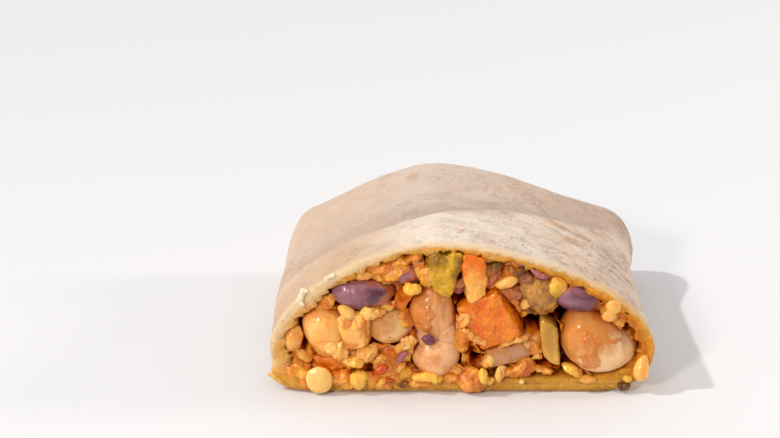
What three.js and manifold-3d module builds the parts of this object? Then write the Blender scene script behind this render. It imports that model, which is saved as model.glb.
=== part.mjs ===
// Half of a burrito, cut across and lying on its flat side. Millimetres, +Z up.
// The cut faces -Y and the folded end faces +Y. One flour tortilla wraps a filling of beans, rice,
// vegetables and sauce. The model is drawn with the cut at y = 0 and the table at z = 0, and is
// centred on its footprint at the end.
import * as THREE from "three";
import { mergeVertices } from "three/addons/utils/BufferGeometryUtils.js";
import Module from "manifold-3d";

const wasm = await Module();
wasm.setup();

// ---------------------------------------------------------------- driving dimensions
const RIDGE_X = -5; // the crown of the roll lies left of its middle
const CUT_HEIGHT = 35.2;
const LEFT_REACH = 37.5; // from the ridge to the left side, at the cut
const RIGHT_REACH = 47.7;
const LENGTH = 72; // from the cut to the folded end
const WIDE_Z = 11; // height at which the roll is widest
const WALLS = { top: 2.1, left: 2.8, right: 2.8, floor: 3.3 }; // double where the roll overlaps
const LIP = 1.2; // the outer layer's free edge, low on the left side
const LIP_TOP_Z = 6.2;
const LIP_FADE = [50, 62]; // where the free edge sinks into the folded end
const FLAT = 0.5; // how much the resting face is pressed flat
const FLOOR_POWER = 9; // fullness of the flat underside
const END_RADIUS = 8; // rounding of the folded end
const END_CLOSE = 16; // inset at which the folded end would shut
const END_WALL = 5; // the folded layers at the end
const GAP = 0.35; // clearance between neighbouring solids
const SOCKET = 0.75; // the same round a larger piece, whose socket has fewer facets
const SLIVER = 0.1; // smaller facets than this are merged away
const BED_FRONT = 1.3; // the mash between the pieces lies about this far behind the cut
const BED_WAVE = 1.1; // and is this uneven
const BED_GAP = 0.9; // clearance between the mash and the tortilla

const ROUND_POINTS = 60; // round the tortilla
const CORE_POINTS = 32; // round the filling

// Height of the crown and reach of each side, along the roll: [distance from the cut, share].
const CROWN_ALONG = [[0, 1], [12, 1.01], [34, 0.985], [58, 0.945], [LENGTH, 0.91]];
const LEFT_ALONG = [[0, 1], [20, 1], [48, 0.97], [LENGTH, 0.95]];
const RIGHT_ALONG = [[0, 1], [22, 0.99], [46, 0.995], [64, 1.055], [LENGTH, 1.05]];
// Fullness of the dome, 2 being an ellipse: flatter slopes towards the folded end.
const FULLNESS_ALONG = [[0, 1.65], [30, 1.62], [48, 1.5], [LENGTH, 1.42]];
// Height of the two shoulders where the folded end's corners are tucked in.
const SHOULDER_ALONG = [[0, 0], [44, 0], [62, 3.2], [LENGTH, 3]];
const SHOULDER_SHARP = 9;
// The pressed valley across the roll. It starts nearer the cut on the left than on the right.
const VALLEY = { depth: 3.3, start: 23, skew: 0.7, nearest: 15, fall: 11, end: 60, rise: 9 };

// ---------------------------------------------------------------- small helpers
const smooth = (t) => t * t * (3 - 2 * t);

function along(table, y) {
  const next = table.findIndex(([at]) => at > y);
  if (next < 0) return table[table.length - 1][1];
  if (next === 0) return table[0][1];
  const [[y0, v0], [y1, v1]] = [table[next - 1], table[next]];
  return v0 + (v1 - v0) * smooth((y - y0) / (y1 - y0));
}

const ramp = (value, from, to) => smooth(Math.min(1, Math.max(0, (value - from) / (to - from))));

function seeded(seed) {
  let state = seed;
  return () => {
    state = (state + 0x6d2b79f5) | 0;
    let t = Math.imul(state ^ (state >>> 15), 1 | state);
    t = (t + Math.imul(t ^ (t >>> 7), 61 | t)) ^ t;
    return ((t ^ (t >>> 14)) >>> 0) / 4294967296;
  };
}

const power = (value, exponent) => Math.sign(value) * Math.abs(value) ** exponent;

// ---------------------------------------------------------------- the roll's cross-section
// A loop of [x, z] at distance y from the cut. walls thins it on the inside, and inset draws it
// in towards the folded end.
function section(y, { walls, inset = 0, lip = 0, points = ROUND_POINTS }) {
  const thin = walls ?? { top: 0, left: 0, right: 0, floor: 0 };
  const close = 1 - inset / END_CLOSE;
  const top = (CUT_HEIGHT * along(CROWN_ALONG, y) - thin.top - WIDE_Z) * close;
  const bottom = (WIDE_Z - thin.floor) * close;
  const left = LEFT_REACH * along(LEFT_ALONG, y) - thin.left - inset;
  const right = RIGHT_REACH * along(RIGHT_ALONG, y) - thin.right - inset;
  const dome = 2 / along(FULLNESS_ALONG, y);
  const shoulder = along(SHOULDER_ALONG, y);
  const loop = [];
  for (let i = 0; i < points; i++) {
    const angle = (2 * Math.PI * i) / points;
    const [across, up] = [Math.cos(angle), Math.sin(angle)];
    const share = power(across, up < 0 ? 2 / FLOOR_POWER : dome);
    let x = RIDGE_X + (across < 0 ? left : right) * share;
    let z = WIDE_Z + (up < 0 ? bottom * up : top * power(up, dome));
    const outer = Math.abs(share) ** SHOULDER_SHARP;
    if (up > 0) z += close * (1 - outer) * (4 * shoulder * outer - valleyAt(x, y));
    if (lip && across < 0 && z < LIP_TOP_Z) x -= lip * Math.min(1, -across * 1.6);
    if (!walls) z = Math.max(0, z - FLAT * Math.max(0, -up));
    loop.push([x, z]);
  }
  return loop;
}

function valleyAt(x, y) {
  const start = Math.max(VALLEY.nearest, VALLEY.start + VALLEY.skew * x);
  const fall = ramp(y, start, start + VALLEY.fall);
  return VALLEY.depth * fall * (1 - ramp(y, VALLEY.end - VALLEY.rise, VALLEY.end));
}

const wallsPlus = (extra) =>
  Object.fromEntries(Object.entries(WALLS).map(([side, wall]) => [side, wall + extra]));

// A closed solid through rings of equal length, with a fan over each end.
function loft(rings, startHub, endHub) {
  const count = rings[0].length;
  const vertices = rings.flat(1).flat();
  const faces = [];
  for (let r = 0; r + 1 < rings.length; r++)
    for (let i = 0; i < count; i++) {
      const [a, b] = [r * count + i, r * count + ((i + 1) % count)];
      faces.push(a, b + count, b, a, a + count, b + count);
    }
  const hubs = rings.length * count;
  vertices.push(...startHub, ...endHub);
  const last = (rings.length - 1) * count;
  for (let i = 0; i < count; i++) {
    const j = (i + 1) % count;
    faces.push(hubs, i, j, hubs + 1, last + j, last + i);
  }
  return geometryOf(vertices, faces);
}

function geometryOf(vertices, faces) {
  const geometry = new THREE.BufferGeometry();
  geometry.setAttribute("position", new THREE.Float32BufferAttribute(vertices, 3));
  geometry.setIndex(faces);
  return geometry;
}

const ringAt = (y, loop) => loop.map(([x, z]) => [x, y, z]);

// ---------------------------------------------------------------- tortilla
// Outer stations run from the cut over the rounded edge and in over the folded end.
function outerRings() {
  const stations = [0, 3, 9, 17, 23, 29, 35, 41, 47, 52, 56, 60, LENGTH - END_RADIUS];
  const rings = stations.map((y) => {
    const fade = 1 - Math.min(1, Math.max(0, (y - LIP_FADE[0]) / (LIP_FADE[1] - LIP_FADE[0])));
    return ringAt(y, section(y, { lip: LIP * fade }));
  });
  for (const turn of [22.5, 45, 67.5, 90].map(THREE.MathUtils.degToRad)) {
    const y = LENGTH - END_RADIUS * (1 - Math.sin(turn));
    rings.push(ringAt(y, section(y, { inset: END_RADIUS * (1 - Math.cos(turn)) })));
  }
  // the tucked middle of the folded end, a little sunk
  rings.push(ringAt(LENGTH - 0.9, section(LENGTH, { inset: 11 })));
  rings.push(ringAt(LENGTH - 2.8, section(LENGTH, { inset: 14 })));
  return rings;
}

function innerRings(extra, points) {
  const walls = wallsPlus(extra);
  const radius = 6;
  const back = LENGTH - END_WALL - extra;
  const stations = [0, 12, 23, 32, 41, 50, 56, back - radius];
  const rings = stations.map((y) => ringAt(y, section(y, { walls, points })));
  for (const turn of [30, 60, 90].map(THREE.MathUtils.degToRad)) {
    const y = back - radius * (1 - Math.sin(turn));
    rings.push(ringAt(y, section(y, { walls, inset: radius * (1 - Math.cos(turn)), points })));
  }
  return rings;
}

const hubAt = (y) => [RIDGE_X + 4, y, WIDE_Z + 1];

// The outer skin and the hollow share the cut's rim, so the tortilla is one closed sheet of faces.
function tortillaGeometry() {
  const outer = outerRings();
  const inner = innerRings(0, ROUND_POINTS);
  const rings = [...inner.reverse(), ...outer];
  return loft(rings, hubAt(LENGTH - END_WALL), hubAt(LENGTH - 3.2));
}

// ---------------------------------------------------------------- shapes of the filling's pieces
function shaped(geometry, move) {
  const merged = mergedGeometry(geometry);
  const at = merged.getAttribute("position");
  const point = new THREE.Vector3();
  for (let i = 0; i < at.count; i++) {
    move(point.fromBufferAttribute(at, i));
    at.setXYZ(i, point.x, point.y, point.z);
  }
  return merged;
}

function mergedGeometry(geometry) {
  const bare = geometry.clone();
  bare.deleteAttribute("normal");
  bare.deleteAttribute("uv");
  return mergeVertices(bare, 1e-4);
}

// A bean: a blunt egg, its ends curled up by bend.
function bean([length, depth, height], { bend = 0.12, faces = 2 } = {}) {
  const blunt = 2.35;
  return shaped(new THREE.IcosahedronGeometry(1, faces), (p) => {
    const size =
      (Math.abs(p.x) ** blunt + Math.abs(p.y) ** blunt + Math.abs(p.z) ** blunt) ** (1 / blunt);
    p.divideScalar(size);
    p.z += bend * (2 * p.x * p.x - 1);
    p.multiply(new THREE.Vector3(length / 2, depth / 2, height / 2));
  });
}

// A diced piece with rounded edges: bent along its length where it is a skin or a strip, and
// wider at the top by taper.
function dice([length, depth, height], more = {}) {
  const { round = 0.28, bend = 0, slant = 0, taper = 0, cuts = 3 } = more;
  return shaped(new THREE.BoxGeometry(2, 2, 2, cuts, cuts, cuts), (p) => {
    const inner = p.clone().clampScalar(-(1 - round), 1 - round);
    const out = p.clone().sub(inner);
    if (out.length() > 0) p.copy(inner).add(out.setLength(round));
    p.x *= 1 + taper * Math.tanh(2.4 * p.z);
    p.z += bend * p.x * p.x;
    p.x += slant * p.z;
    p.multiply(new THREE.Vector3(length / 2, depth / 2, height / 2));
  });
}

// A broken lump: a ball with a few smooth dents.
function lump([length, depth, height], { rough = 0.16, seed = 1, faces = 2 } = {}) {
  const draw = seeded(seed);
  const waves = Array.from({ length: 3 }, () => ({
    along: new THREE.Vector3(draw() - 0.5, draw() - 0.5, draw() - 0.5).setLength(2.2 + 2 * draw()),
    shift: draw() * 2 * Math.PI,
  }));
  return shaped(new THREE.IcosahedronGeometry(1, faces), (p) => {
    const swell = waves.reduce((sum, w) => sum + Math.sin(p.dot(w.along) + w.shift), 0) / 3;
    p.multiplyScalar(1 + rough * swell);
    p.multiply(new THREE.Vector3(length / 2, depth / 2, height / 2));
  });
}

// A grain or a crumb: a plain spindle with few sides.
function grain([length, depth, height]) {
  return shaped(new THREE.OctahedronGeometry(1, 1), (p) => {
    p.multiply(new THREE.Vector3(length / 2, depth / 2, height / 2));
  });
}

// ---------------------------------------------------------------- what shows at the cut
// at: x and z of the piece's middle; front: how far its nearest point stands behind the cut;
// tilt: degrees from level, turning the right end up; turn: degrees that its right end points back.
const PIECES = [
  { name: "pinto_bean_right", form: bean, size: [19.6, 13, 13.4], at: [30.4, 10.9], front: -1.6,
    tilt: -36, turn: 10, colour: 0xdc9a5c, more: { bend: 0.14 } },
  { name: "sweet_potato_cube", form: dice, size: [10.6, 11, 12.4], at: [6.5, 17.2], front: -1.0,
    tilt: 27, turn: -8, colour: 0xe2762a, more: { round: 0.26, slant: -0.08 } },
  { name: "pinto_bean_upper", form: bean, size: [15.4, 9.6, 10.2], at: [-5.6, 17.7], front: -0.6,
    tilt: -74, turn: 12, colour: 0xb98257, more: { bend: 0.16 } },
  { name: "pinto_bean_lower", form: bean, size: [11.0, 9.6, 9.4], at: [-5.4, 8.3], front: -1.6,
    tilt: 24, turn: 0, colour: 0xd09f78 },
  { name: "black_bean_left", form: bean, size: [14.2, 8.4, 7.4], at: [-21.8, 22.9], front: -1.0,
    tilt: -3, turn: 4, colour: 0x67405a, more: { bend: 0.1 } },
  { name: "black_bean_right", form: bean, size: [12, 8.5, 7.2], at: [25.4, 22.2], front: -0.2,
    tilt: -14, turn: 0, colour: 0x5c3a50 },
  { name: "black_bean_top", form: bean, size: [8.8, 7.5, 6], at: [-12.0, 27.6], front: 0.9,
    tilt: 8, turn: 20, colour: 0x54374c },
  { name: "white_bean_left", form: bean, size: [13.4, 9.5, 10.4], at: [-29.8, 13.4], front: -0.6,
    tilt: -68, turn: 8, colour: 0xe6ac62, more: { bend: -0.08 } },
  { name: "brown_bean", form: bean, size: [11.4, 8.5, 9.4], at: [-15.8, 15.4], front: 0.1,
    tilt: -24, turn: 15, colour: 0xc99a68 },
  { name: "potato_chunk", form: dice, size: [6.8, 7, 9.0], at: [-23.6, 14.8], front: -1.5,
    tilt: 14, turn: -16, colour: 0xe4ad60, more: { round: 0.45, slant: 0.12, taper: 0.12 } },
  { name: "green_pepper", form: dice, size: [6.2, 5.2, 11.2], at: [-4.0, 27.9], front: -0.6,
    tilt: -2, turn: -6, colour: 0xa2982c, more: { round: 0.35, taper: 0.38, cuts: 4 } },
  { name: "carrot_piece", form: dice, size: [5.0, 6, 12.0], at: [2.5, 27.2], front: -0.9,
    tilt: 5, turn: 6, colour: 0xe99a4a, more: { round: 0.3, slant: -0.12, taper: 0.16 } },
  { name: "onion_piece", form: dice, size: [10.8, 5, 4.6], at: [10.4, 8.8], front: 0.2,
    tilt: 10, turn: 10, colour: 0xd8bb98, more: { round: 0.45, bend: -0.16 } },
  { name: "pepper_strip", form: dice, size: [10.2, 6, 3.6], at: [19.5, 11.8], front: -0.2,
    tilt: -84, turn: 5, colour: 0xd6bb62, more: { round: 0.3, bend: 0.14, slant: 0.26 } },
  { name: "mash_lump", form: lump, size: [8.8, 7.5, 9.8], at: [16.8, 22.8], front: -0.5,
    tilt: 20, turn: 0, colour: 0xb98a3e, more: { seed: 31, rough: 0.22 } },
];

// Pieces smaller than a berry, fused to the filling: grains, kernels, crumbs and clumps.
const SMALL = [
  { form: grain, size: [7, 3.6, 4.2], at: [-37.2, 12.2], front: 0.2, tilt: 72 },
  { form: grain, size: [4.2, 2.4, 2.2], at: [-34.8, 8.0], front: 0.4, tilt: -30 },
  { form: lump, size: [6.3, 3.2, 6.4], at: [-31.2, 3.9], front: -2.4, tilt: 10 },
  { form: lump, size: [5.4, 4.4, 6], at: [-22.8, 4.4], front: -1.5, tilt: 15 },
  { form: lump, size: [7.4, 4.4, 4.4], at: [-24.0, 8.4], front: -1.2, tilt: -20 },
  { form: lump, size: [5.6, 4.5, 5.4], at: [-28.0, 7.2], front: -0.6, tilt: 0 },
  { form: lump, size: [6.6, 4, 5.2], at: [-17.4, 6.4], front: -0.9, tilt: 20 },
  { form: lump, size: [5.6, 3.6, 4], at: [-15.4, 3.6], front: -0.9, tilt: 0 },
  { form: lump, size: [7.4, 3.6, 3.4], at: [-7.4, 4.0], front: -1.6, tilt: -4 },
  { form: lump, size: [6.4, 4.6, 6.6], at: [2.8, 3.6], front: -2.6, tilt: 20 },
  { form: grain, size: [4.6, 2.4, 2.2], at: [8.2, 4.8], front: -0.8, tilt: 84 },
  { form: lump, size: [7, 4.4, 4.4], at: [13.2, 5.4], front: -0.6, tilt: 25 },
  { form: grain, size: [6.8, 7, 3.6], at: [39.4, 6.2], front: -2.9, tilt: 80 },
  { form: grain, size: [4, 3.6, 3.4], at: [33.6, 20.2], front: -0.2, tilt: -20 },
  { form: grain, size: [3.8, 3.4, 2.8], at: [32.4, 17.8], front: 0.2, tilt: -10 },
  { form: lump, size: [5.2, 3.4, 3.2], at: [10.0, 26.6], front: -0.4, tilt: 12 },
  { form: lump, size: [5, 4, 5.6], at: [21.2, 26.2], front: -0.2, tilt: 30 },
  { form: grain, size: [3.8, 3.4, 3.6], at: [-11.2, 24.3], front: -0.5, tilt: 0 },
  { form: lump, size: [5.2, 4, 6.4], at: [-8.4, 28.4], front: -0.3, tilt: 15 },
  { form: grain, size: [4.6, 3.6, 3.6], at: [-26.0, 26.8], front: 0.2, tilt: 20 },
  { form: lump, size: [7, 4, 3.4], at: [-19.6, 28.4], front: 0.4, tilt: 14 },
  { form: lump, size: [5.6, 3.6, 3.6], at: [-17.2, 20.0], front: -1.0, tilt: 20 },
  { form: grain, size: [3.8, 3.2, 4.2], at: [-24.8, 20.0], front: -1.4, tilt: 20 },
  { form: grain, size: [4.6, 4, 7], at: [0.4, 12.0], front: -0.3, tilt: 20 },
  { form: lump, size: [5.6, 4, 4.6], at: [3.6, 8.2], front: 0.4, tilt: 0 },
  { form: lump, size: [6, 4, 5.4], at: [-12.8, 9.2], front: -0.2, tilt: -30 },
  { form: lump, size: [7, 4, 3.4], at: [26.4, 3.8], front: -0.6, tilt: -16 },
  { form: lump, size: [5, 3.6, 4], at: [14.8, 11.6], front: 0, tilt: 40 },
  { form: lump, size: [6.4, 3.6, 3.4], at: [15.4, 29.2], front: 0.2, tilt: -22 },
  { form: grain, size: [4.6, 3.6, 4], at: [9.4, 30.4], front: 0.6, tilt: 10 },
];

// Deep shaded gaps between the pieces: [x, z, width, height].
const PITS = [
  [16.8, 16.4, 4.6, 3.8],
  [23.0, 17.4, 5.4, 4.6],
  [-0.9, 22.6, 3.8, 3.4],
  [3.2, 7.6, 3.2, 3.4],
  [-34.4, 17.0, 3.0, 6.4],
  [22.6, 6.6, 8.0, 4.8],
  [37.2, 15.2, 4.4, 8.0],
];
const PIT_DEPTH = 9;

const BED_LUMPS = 16; // loose mash between the placed pieces
const BED_SEED = 20;
const BED_INSETS = [12, 8, 4, 0];

// ---------------------------------------------------------------- putting the filling together
function solidOf(geometry) {
  const merged = mergedGeometry(geometry);
  return new wasm.Manifold(
    new wasm.Mesh({
      numProp: 3,
      vertProperties: merged.getAttribute("position").array,
      triVerts: new Uint32Array(merged.index.array),
    }),
  );
}

function placed(piece, grow = 0) {
  const { form, size, at, front, tilt, turn = 0, more } = piece;
  const grown = size.map((length) => length + 2 * grow);
  const geometry = form(grown, more);
  geometry.rotateZ(THREE.MathUtils.degToRad(turn));
  geometry.rotateY(THREE.MathUtils.degToRad(-tilt));
  geometry.translate(at[0], front + size[1] / 2, at[1]);
  return geometry;
}

function largestPart(solid) {
  const parts = solid.decompose();
  return parts.reduce((best, part) => (part.volume() > best.volume() ? part : best));
}

function meshGeometry(solid) {
  const mesh = solid.getMesh();
  return geometryOf(Array.from(mesh.vertProperties), Array.from(mesh.triVerts));
}

// The space that food may fill: the tortilla's hollow, and all that lies clear in front of the cut.
function roomForFood() {
  const rings = innerRings(GAP, ROUND_POINTS);
  const mouth = rings[0].map(([x, , z]) => [x, -6, z]);
  const hollow = solidOf(loft([mouth, ...rings], hubAt(-6), hubAt(LENGTH - END_WALL - GAP)));
  const ahead = new THREE.BoxGeometry(200, 40, 100);
  ahead.translate(0, -20 - GAP, 50);
  return hollow.add(solidOf(ahead));
}

// Even scatter over the cut: each lump keeps its distance from the ones before it.
function bedLumps() {
  const draw = seeded(BED_SEED);
  const lumps = [];
  const edge = section(0, { walls: wallsPlus(1.2) });
  const outline = new THREE.Shape(edge.map(([x, z]) => new THREE.Vector2(x, z)));
  const corners = outline.getPoints();
  const inside = (x, z) =>
    corners.reduce((odd, a, i) => {
      const b = corners[(i + 1) % corners.length];
      const crosses = a.y > z !== b.y > z && x < ((b.x - a.x) * (z - a.y)) / (b.y - a.y) + a.x;
      return crosses ? !odd : odd;
    }, false);
  const nearPit = (x, z) => PITS.some(([px, pz, w, h]) => Math.hypot((x - px) / w, (z - pz) / h) < 1);
  for (let tries = 0; tries < 4000 && lumps.length < BED_LUMPS; tries++) {
    const [x, z] = [-41 + 82 * draw(), 4 + 29 * draw()];
    const apart = lumps.every((other) => Math.hypot(other.at[0] - x, other.at[1] - z) > 5.6);
    if (!apart || !inside(x, z) || nearPit(x, z)) continue;
    const width = 4.6 + 2.6 * draw();
    lumps.push({
      form: grain,
      size: [width, 5, width * (0.7 + 0.3 * draw())],
      at: [x, z],
      front: 0.4 + 1.2 * draw(),
      tilt: 360 * draw(),
    });
  }
  return lumps;
}

// The mash behind the pieces: fills the hollow, with an uneven face towards the cut.
function bedSolid() {
  const draw = seeded(BED_SEED + 1);
  const uneven = ([x, z]) => {
    const wave = Math.sin(0.62 * x + 1.3) * Math.sin(0.74 * z + 0.4) + 0.9 * (draw() - 0.5);
    return [x, BED_FRONT + BED_WAVE * wave, z];
  };
  const walls = wallsPlus(BED_GAP);
  const face = BED_INSETS.map((inset) =>
    section(0, { walls, inset, points: CORE_POINTS }).map(uneven),
  );
  const body = innerRings(BED_GAP, CORE_POINTS).slice(1);
  return solidOf(loft([...face, ...body], hubAt(BED_FRONT), hubAt(LENGTH - END_WALL - BED_GAP)));
}

function foodSolids() {
  const room = roomForFood();
  const around = []; // close round each piece, for its neighbours
  const taken = []; // and more roughly, for the mash
  const pieces = PIECES.map((piece) => {
    let solid = solidOf(placed(piece)).intersect(room);
    for (const other of around) solid = solid.subtract(other);
    around.push(solidOf(placed(piece, GAP)));
    taken.push(solidOf(placed({ ...piece, more: { ...piece.more, faces: 1, cuts: 2 } }, SOCKET)));
    return { ...piece, solid: largestPart(solid) };
  });
  let filling = bedSolid();
  const small = SMALL.map((piece, i) => ({ ...piece, more: { seed: 7 + i, faces: 1 } }));
  for (const piece of [...bedLumps(), ...small])
    filling = filling.add(solidOf(placed(piece)).intersect(room));
  for (const [x, z, width, height] of PITS) {
    const pit = { form: grain, size: [width, PIT_DEPTH, height], at: [x, z], front: -1.5, tilt: 0 };
    filling = filling.subtract(solidOf(placed(pit)));
  }
  for (const other of taken) filling = filling.subtract(other);
  return { pieces, filling: largestPart(largestPart(filling).simplify(SLIVER)) };
}

// ---------------------------------------------------------------- materials and assembly
const material = (color, roughness) =>
  new THREE.MeshStandardMaterial({ color, roughness, metalness: 0 });

function named(name, geometry, finish) {
  const mesh = new THREE.Mesh(geometry, finish);
  mesh.name = name;
  return mesh;
}

const half = new THREE.Group();
half.add(named("tortilla", tortillaGeometry(), material(0xe9d9c2, 0.8)));
const food = foodSolids();
half.add(named("filling", meshGeometry(food.filling), material(0xc47a2c, 0.45)));
for (const { name, solid, colour } of food.pieces)
  half.add(named(name, meshGeometry(solid), material(colour, 0.35)));

const footprint = new THREE.Box3().setFromObject(half);
const middle = footprint.getCenter(new THREE.Vector3());
half.position.set(-middle.x, -middle.y, -footprint.min.z);

export default half;
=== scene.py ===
"""Half of a cut burrito: a floury tortilla roll with a wet, crumbly filling at the cut."""

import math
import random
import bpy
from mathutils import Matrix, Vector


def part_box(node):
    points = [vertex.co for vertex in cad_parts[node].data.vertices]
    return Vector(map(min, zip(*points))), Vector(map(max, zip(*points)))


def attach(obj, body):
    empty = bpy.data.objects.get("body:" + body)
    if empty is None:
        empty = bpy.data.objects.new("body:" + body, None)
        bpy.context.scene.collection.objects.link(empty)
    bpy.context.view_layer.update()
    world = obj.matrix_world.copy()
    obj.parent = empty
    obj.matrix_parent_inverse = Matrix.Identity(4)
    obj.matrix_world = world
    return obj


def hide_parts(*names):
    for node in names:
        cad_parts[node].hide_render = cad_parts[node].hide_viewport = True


bl_info = {
    "name": "Burrito Half",
    "version": (1, 0, 0),
    "blender": (4, 5, 0),
    "location": "3D View > Sidebar > Burrito",
    "description": "Dresses the solid parts of a cut burrito half with its real surfaces",
    "category": "Object",
}

import bpy
from bpy.props import FloatProperty, FloatVectorProperty, IntProperty, PointerProperty
from mathutils import Vector

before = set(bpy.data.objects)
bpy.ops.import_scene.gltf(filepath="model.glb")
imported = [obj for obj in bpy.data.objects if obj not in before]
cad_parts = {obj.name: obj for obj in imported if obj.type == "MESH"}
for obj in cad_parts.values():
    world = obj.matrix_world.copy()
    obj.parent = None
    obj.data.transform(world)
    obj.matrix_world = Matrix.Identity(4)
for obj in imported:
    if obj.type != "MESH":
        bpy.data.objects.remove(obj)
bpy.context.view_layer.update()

MM = 0.001
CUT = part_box("tortilla")[0].y  # the cut face lies in this plane and faces -Y
ZERO_X = -1.4 * MM  # where the lists of small bits measure from, along X
AXIS = (-0.003, 0.0, 0.013)  # a point on the line through the middle of the roll
RIDGE = ZERO_X - 5.0 * MM  # the crown of the cut, and the section's reach from it
LEFT_REACH, RIGHT_REACH = 37.5 * MM, 47.7 * MM
CROWN_Z, WIDE_Z = 35.2 * MM, 11.0 * MM
DOME = 1.65  # fullness of the section, 2 being an ellipse


# ------------------------------------------------------------------ sizes and colours
def shade(red, green, blue):
    """A display colour, 0 to 255, as the linear colour that Blender keeps."""
    return tuple(
        c / 12.92 if c <= 0.04045 else ((c + 0.055) / 1.055) ** 2.4
        for c in (red / 255, green / 255, blue / 255)
    )


def colour(label, what, *value):
    """A colour setting."""
    return FloatVectorProperty(
        name=label, description=what, subtype="COLOR", size=3, min=0, max=1, default=shade(*value)
    )


def length(label, what, value):
    """A length setting, given in millimetres and kept in metres."""
    return FloatProperty(
        name=label, description=what, unit="LENGTH", precision=5, min=0, default=value * MM
    )


class BurritoShell(bpy.types.PropertyGroup):
    """Sizes and colours of the tortilla."""

    crease: length("Crease", "Height of the fine creases that run round the roll", 0.22)
    swell: length("Swell", "How far the filling pushes the skin out of true", 0.5)
    blister: length("Blister", "Height of the baked blisters", 0.14)
    ragged: length("Ragged cut", "How far the cut edge strays from a plane", 0.5)
    flour: colour("Flour", "Dry outer skin", 255, 238, 220)
    warm: colour("Warm", "Slightly baked skin", 238, 205, 179)
    # Shaded flour is painted shade: greyer skin in the valley behind the crest and in loose
    # patches.
    valley_shade_grey: colour("Shaded flour", "Thin skin with the filling behind it", 197, 172, 155)
    # The oily flour is partly oil near the cut and partly painted shade that darkens the sunlit
    # left slope.
    oily_and_shaded: colour("Oily flour", "Skin that oil has soaked, on the left slope", 222, 184, 152)
    toast: colour("Toast", "Toasted spots", 200, 146, 96)
    # Char also paints shade: the dark crease lines round the roll stand for shade in the creases;
    # the specks are real.
    char: colour("Char", "Darkest creases and specks", 130, 98, 80)
    cream: colour("Cream", "Cut edge, hardly soaked", 255, 220, 170)
    soaked: colour("Soaked", "Cut edge, soaked with sauce", 252, 176, 54)
    stained: colour("Stained", "Darkest stains inside", 226, 130, 18)
    ochre: colour("Ochre", "Soaked layers under the filling", 244, 182, 74)
    # Dark ochre is painted shade where the band meets the table, and also colours its brown patches
    # and seam line.
    ochre_dark_shade: colour("Dark ochre", "Layer that lies on the table", 206, 138, 52)


class BurritoFood(bpy.types.PropertyGroup):
    """Sizes and colours of the filling."""

    grain: length("Grain", "Height of the mash's grains", 0.42)
    hollow: length("Hollows", "Depth of the gaps between the pieces", 2.4)
    voxel: length("Fineness", "Spacing of the points on the mash's surface", 0.34)
    crumb: length("Crumb", "Usual width of a loose crumb", 0.7)
    crumbs: IntProperty(name="Crumbs", description="Loose crumbs to each square centimetre",
                        min=0, default=9)
    mash: colour("Mash", "Mashed filling", 224, 122, 14)
    # In the mash itself these two paint shade in the hollows and light on the crests; elsewhere
    # they are plain tones.
    mash_deep_shade: colour("Mash in the hollows", "Mashed filling, deep down", 178, 72, 4)
    mash_pale_and_crest_light: colour("Mash on the crests", "Mashed filling, where it stands out", 252, 186, 76)
    sauce: colour("Sauce", "Sauce that coats the pieces", 214, 113, 8)
    sauce_pale: colour("Thin sauce", "Sauce where it is thin", 250, 166, 52)
    pinto: colour("Pinto bean", "Skin of the tan beans", 240, 178, 116)
    pinto_deep: colour("Pinto bean, mottled", "Darker skin of the tan beans", 206, 128, 62)
    white_bean: colour("White bean", "Skin of the pale beans", 255, 192, 108)
    dark_bean: colour("Dark bean", "Skin of the purple beans", 158, 96, 114)
    dark_bean_deep: colour("Dark bean, deep", "Darkest part of the purple beans", 100, 40, 58)
    lilac: colour("Lilac", "Pale ends of the purple beans and onion skin", 168, 100, 114)
    sweet_potato: colour("Sweet potato", "Diced sweet potato", 250, 146, 26)
    sweet_potato_deep: colour("Sweet potato, deep", "Its deeper side", 226, 98, 2)
    potato: colour("Potato", "Pale chunk", 252, 184, 96)
    carrot: colour("Carrot", "Carrot end", 240, 120, 14)
    # Painted light and shade: the carrot is pale on its lower side and darker on top.
    carrot_lit_side: colour("Carrot, lit side", "Pale side of the carrot", 255, 182, 84)
    green_pepper: colour("Green pepper", "Cooked green pepper", 216, 164, 32)
    green_pepper_deep: colour("Green pepper, deep", "Its darker skin", 146, 102, 2)
    mustard: colour("Yellow pepper", "Cooked yellow pepper", 240, 184, 72)
    olive: colour("Herbs", "Dark cooked leaves", 118, 82, 26)
    red: colour("Red pepper", "Bits of red pepper", 216, 84, 36)
    onion: colour("Onion", "Cooked onion", 200, 152, 120)
    strip: colour("Pepper strip", "Pale strip", 236, 186, 92)
    rice: colour("Rice", "Rice grains", 246, 186, 100)
    kernel: colour("Kernel", "Yellow kernels", 252, 190, 76)


class BurritoStage(bpy.types.PropertyGroup):
    """The camera, the light and the floor."""

    lens: FloatProperty(name="Lens", description="Focal length", unit="CAMERA", default=89.2)
    tilt: FloatProperty(name="Tilt", description="How far the camera looks down",
                        subtype="ANGLE", default=math.radians(20))
    sun: FloatProperty(name="Sun", description="Strength of the key light", min=0, default=1.45)
    sky: FloatProperty(name="Sky", description="Strength of the soft light all round", min=0,
                       default=0.81)
    fill: FloatProperty(name="Fill", description="Power of the soft light in front",
                        unit="POWER", min=0, default=3.4)
    floor: colour("Floor", "Pale table top", 222, 222, 223)


# ------------------------------------------------------------------ node helpers
class Field:
    """A value in a node tree. Plain arithmetic with it adds the nodes that work it out."""

    def __init__(self, tree, socket):
        self.tree, self.socket = tree, socket

    def __add__(self, other):
        return maths("ADD", self, other)

    def __radd__(self, other):
        return maths("ADD", other, self)

    def __sub__(self, other):
        return maths("SUBTRACT", self, other)

    def __rsub__(self, other):
        return maths("SUBTRACT", other, self)

    def __mul__(self, other):
        return maths("MULTIPLY", self, other)

    def __rmul__(self, other):
        return maths("MULTIPLY", other, self)

    def __truediv__(self, other):
        return maths("DIVIDE", self, other)

    def __pow__(self, other):
        return maths("POWER", self, other)

    def __abs__(self):
        return maths("ABSOLUTE", self)


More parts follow.
